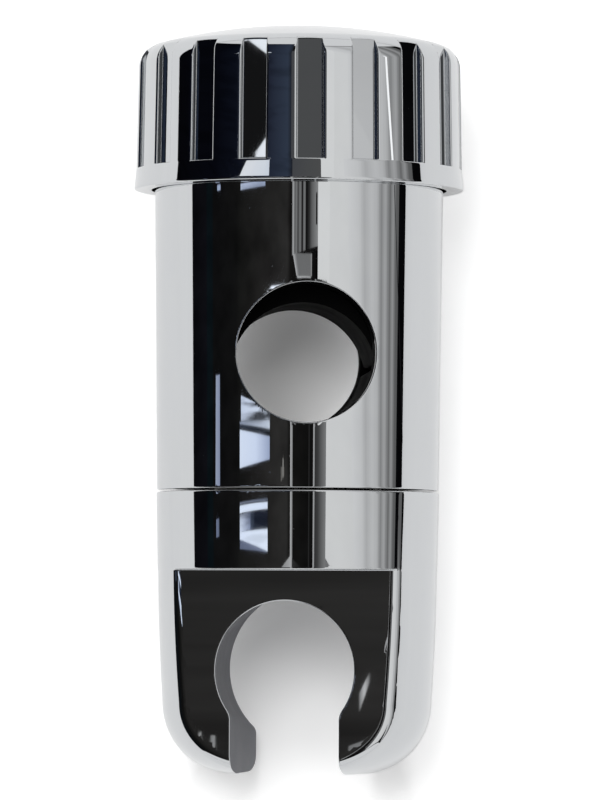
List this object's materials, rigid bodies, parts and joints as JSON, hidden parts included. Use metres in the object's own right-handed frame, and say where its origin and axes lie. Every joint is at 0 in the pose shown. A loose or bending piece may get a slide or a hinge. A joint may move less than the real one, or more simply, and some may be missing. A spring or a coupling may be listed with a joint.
{
  "type": "shower rail slider",
  "caption": "Round chromed slider for a wall rail: cross bore, fluted clamp knob above and a swivelling holder with a tapered open socket below.",
  "frame": {"origin": "middle of the rail bore, on the slider's long axis", "axes": "+Z along the rail bore, out of the face beside the socket's narrow mouth; +Y along the slider's long axis, towards the knob; the holder is swivelled 12 degrees at rest"},
  "size_m": [0.0536, 0.1212, 0.0536],
  "materials": {
    "chrome": "polished",
    "black_plastic": "satin",
    "steel": "satin",
    "brass": "satin",
    "acetal": "satin"
  },
  "bodies": {
    "body": {"body_shell": "chrome", "rail_carrier": "black_plastic", "nut_housing": "black_plastic", "clamp_nut": "brass", "housing_screws": "steel"},
    "shoe": {"clamp_shoe": "black_plastic", "thrust_washer": "steel", "tip_clip": "steel"},
    "knob": {"knob_shell": "chrome", "knob_core": "black_plastic", "clamp_screw": "steel"},
    "holder": {"holder_shell": "chrome", "pivot_plate": "black_plastic", "plate_screws": "steel", "pivot_insert": "brass", "pivot_screw": "steel", "pivot_washer": "steel", "spring_washer": "steel", "friction_ring": "acetal"}
  },
  "joints": [
    {"name": "shoe_lift", "type": "slide", "parent": "body", "child": "shoe", "axis": [0, 1, 0], "range_m": [0, 0.00375]},
    {"name": "knob_turn", "type": "hinge", "parent": "shoe", "child": "knob", "pos_m": [0, 0.04, 0], "axis": [0, 1, 0], "range_deg": [0, 1080]},
    {"name": "holder_swivel", "type": "hinge", "parent": "body", "child": "holder", "pos_m": [0, -0.0217, 0], "axis": [0, 1, 0], "continuous": true}
  ],
  "couplings": [
    {"joint": "shoe_lift", "follows": "knob_turn", "m_per_rad": 0.00019894}
  ]
}
